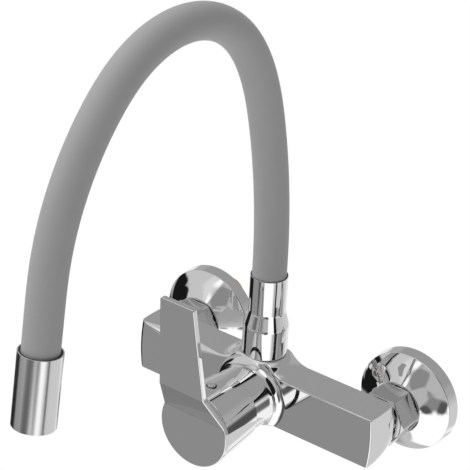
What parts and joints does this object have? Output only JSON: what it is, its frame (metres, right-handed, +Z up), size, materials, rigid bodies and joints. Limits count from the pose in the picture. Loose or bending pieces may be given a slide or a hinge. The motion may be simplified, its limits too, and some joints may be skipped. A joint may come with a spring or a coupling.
{
  "type": "wall-mounted kitchen faucet",
  "caption": "Wall-mounted kitchen faucet: chromed bar body on eccentric wall unions, bent single lever over a ceramic-disc cartridge, and a flexible grey hose spout.",
  "frame": {"origin": "on the wall, midway between the axes of the two supply threads", "axes": "+Y into the wall, +Z up, +X to the right as seen from the room"},
  "size_m": [0.214, 0.2829, 0.301],
  "materials": {
    "chrome": "polished",
    "brass": "turned",
    "steel": "plain",
    "ceramic": "lapped",
    "plastic": "moulded",
    "seal": "matte",
    "silicone": "matte"
  },
  "bodies": {
    "body": {"body_casting": "chrome", "s_union_left": "brass", "s_union_right": "brass", "flange_left": "chrome", "flange_right": "chrome", "union_nut_left": "chrome", "union_nut_right": "chrome", "inlet_tail_left": "brass", "inlet_tail_right": "brass", "inlet_washer_left": "seal", "inlet_washer_right": "seal", "cartridge_shell": "plastic", "cartridge_base": "plastic", "port_seals": "seal", "fixed_disc": "ceramic", "retaining_nut": "brass", "retaining_screw": "steel"},
    "turret": {"turret": "brass", "pivot_pin": "steel"},
    "lever": {"stem": "steel", "lever": "chrome", "lever_screw": "steel", "screw_plug": "plastic"},
    "disc": {"moving_disc": "ceramic", "disc_carrier": "plastic"},
    "spout": {"spout_tail": "brass", "tail_o_rings": "seal", "slip_ring": "plastic", "spout_socket": "chrome", "hose_sleeve": "silicone", "gooseneck_core": "steel", "water_tube": "silicone", "hose_fitting_lower": "brass", "hose_fitting_upper": "brass", "nozzle": "chrome", "aerator": "plastic", "aerator_washer": "seal"}
  },
  "joints": [
    {"name": "mix", "type": "hinge", "parent": "body", "child": "turret", "pos_m": [0, -0.0792, -0.008], "axis": [0, 1, 0], "range_deg": [-45, 45]},
    {"name": "lift", "type": "hinge", "parent": "turret", "child": "lever", "pos_m": [0, -0.0792, -0.008], "axis": [1, 0, 0], "range_deg": [0, 25]},
    {"name": "disc_slide", "type": "slide", "parent": "turret", "child": "disc", "axis": [0, 0, 1], "range_m": [0, 0.0035]},
    {"name": "spout_swivel", "type": "hinge", "parent": "body", "child": "spout", "pos_m": [0, -0.05115, 0.016], "axis": [0, 0, 1], "range_deg": [-90, 90]}
  ],
  "couplings": [
    {"joint": "disc_slide", "follows": "lift", "m_per_rad": 0.0078}
  ]
}
